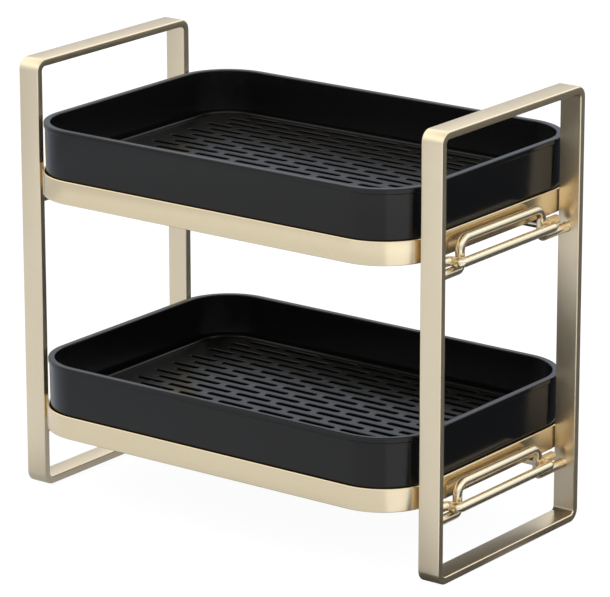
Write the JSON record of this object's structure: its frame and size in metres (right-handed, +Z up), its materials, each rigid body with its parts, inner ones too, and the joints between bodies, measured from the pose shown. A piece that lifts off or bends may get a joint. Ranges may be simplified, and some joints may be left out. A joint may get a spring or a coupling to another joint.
{
  "type": "two-tier countertop organizer",
  "caption": "Countertop organizer: flat-bar side frames carry two hooked-in shelves with lift-out drain trays and slotted plates.",
  "frame": {"origin": "on the floor, midway between the two side frames and under the middle of the shelves, front to back", "axes": "+X along the length towards the right side frame, +Y towards the back, +Z up"},
  "size_m": [0.38, 0.2376, 0.33],
  "materials": {
    "satin_gold": "satin champagne gold",
    "black_tray": "matte black",
    "black_plate": "matte black"
  },
  "bodies": {
    "side_frames": {"left_side_frame": "satin_gold", "right_side_frame": "satin_gold", "upper_left_crank_wire": "satin_gold", "upper_right_crank_wire": "satin_gold", "lower_left_crank_wire": "satin_gold", "lower_right_crank_wire": "satin_gold"},
    "upper_shelf": {"upper_shelf_ring": "satin_gold", "upper_front_support_rod": "satin_gold", "upper_rear_support_rod": "satin_gold", "upper_left_hook_wire": "satin_gold", "upper_right_hook_wire": "satin_gold"},
    "upper_tray": {"upper_tray": "black_tray"},
    "upper_drain_plate": {"upper_drain_plate": "black_plate"},
    "lower_shelf": {"lower_shelf_ring": "satin_gold", "lower_front_support_rod": "satin_gold", "lower_rear_support_rod": "satin_gold", "lower_left_hook_wire": "satin_gold", "lower_right_hook_wire": "satin_gold"},
    "lower_tray": {"lower_tray": "black_tray"},
    "lower_drain_plate": {"lower_drain_plate": "black_plate"}
  },
  "joints": [
    {"name": "upper_shelf_lift", "type": "slide", "parent": "side_frames", "child": "upper_shelf", "axis": [0, 0, 1], "range_m": [0, 0.03]},
    {"name": "upper_tray_lift", "type": "slide", "parent": "upper_shelf", "child": "upper_tray", "axis": [0, 0, 1], "range_m": [0, 0.05]},
    {"name": "upper_plate_lift", "type": "slide", "parent": "upper_tray", "child": "upper_drain_plate", "axis": [0, 0, 1], "range_m": [0, 0.055]},
    {"name": "lower_shelf_lift", "type": "slide", "parent": "side_frames", "child": "lower_shelf", "axis": [0, 0, 1], "range_m": [0, 0.03]},
    {"name": "lower_tray_lift", "type": "slide", "parent": "lower_shelf", "child": "lower_tray", "axis": [0, 0, 1], "range_m": [0, 0.05]},
    {"name": "lower_plate_lift", "type": "slide", "parent": "lower_tray", "child": "lower_drain_plate", "axis": [0, 0, 1], "range_m": [0, 0.055]}
  ]
}
